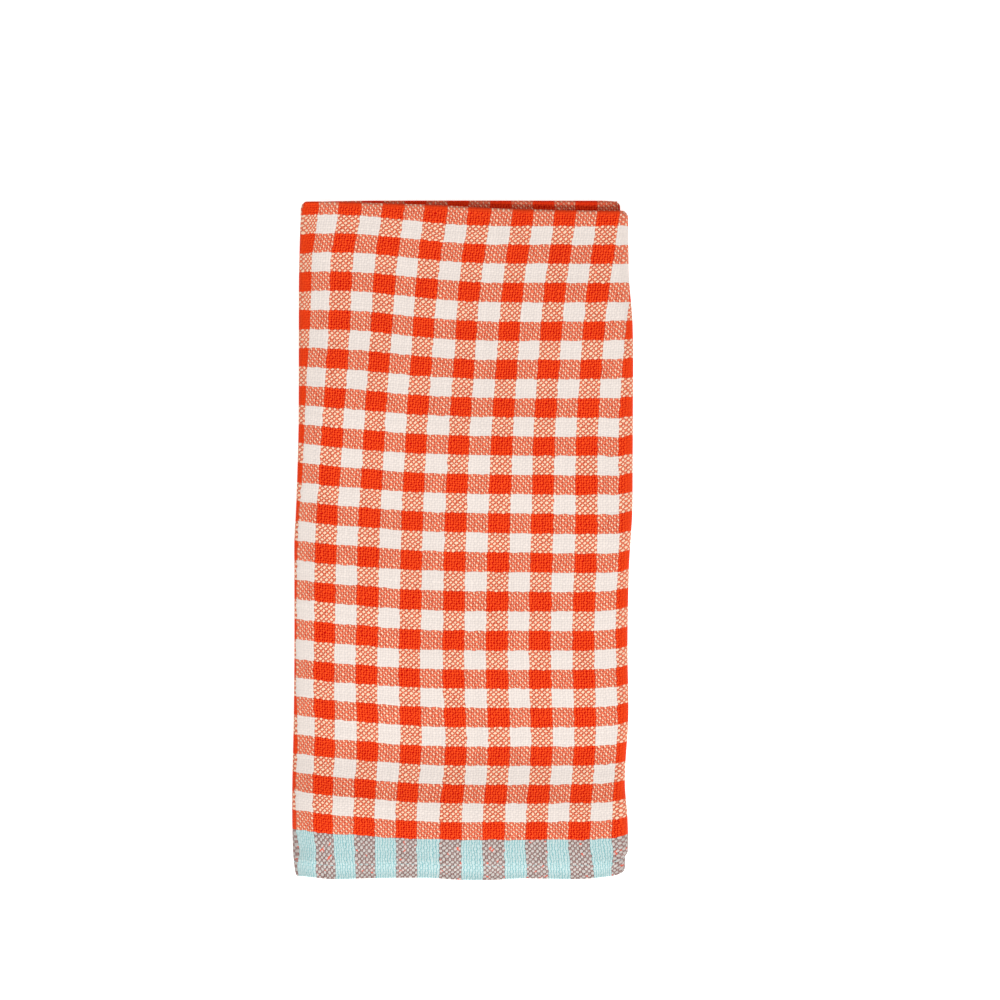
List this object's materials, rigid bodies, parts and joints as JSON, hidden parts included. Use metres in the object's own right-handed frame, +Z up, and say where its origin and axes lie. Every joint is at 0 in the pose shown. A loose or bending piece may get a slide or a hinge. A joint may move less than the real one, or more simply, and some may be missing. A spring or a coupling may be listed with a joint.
{
  "type": "folded tea towel",
  "caption": "Gingham cotton tea towel with aqua end bands, folded in half and then in thirds into a long flat rectangle, lying flat.",
  "frame": {"origin": "under the centre of the folded towel, on the surface that it rests on", "axes": "+Z up from the surface, +Y from the hemmed ends to the half fold, +X to the right as seen from above"},
  "size_m": [0.1771, 0.3523, 0.0123],
  "materials": {
    "gingham_cotton": "matt plain-woven cotton, orange-red and off-white gingham, aqua bands at both ends"
  },
  "bodies": {
    "root": {"towel_cloth": "gingham_cotton"}
  },
  "joints": []
}
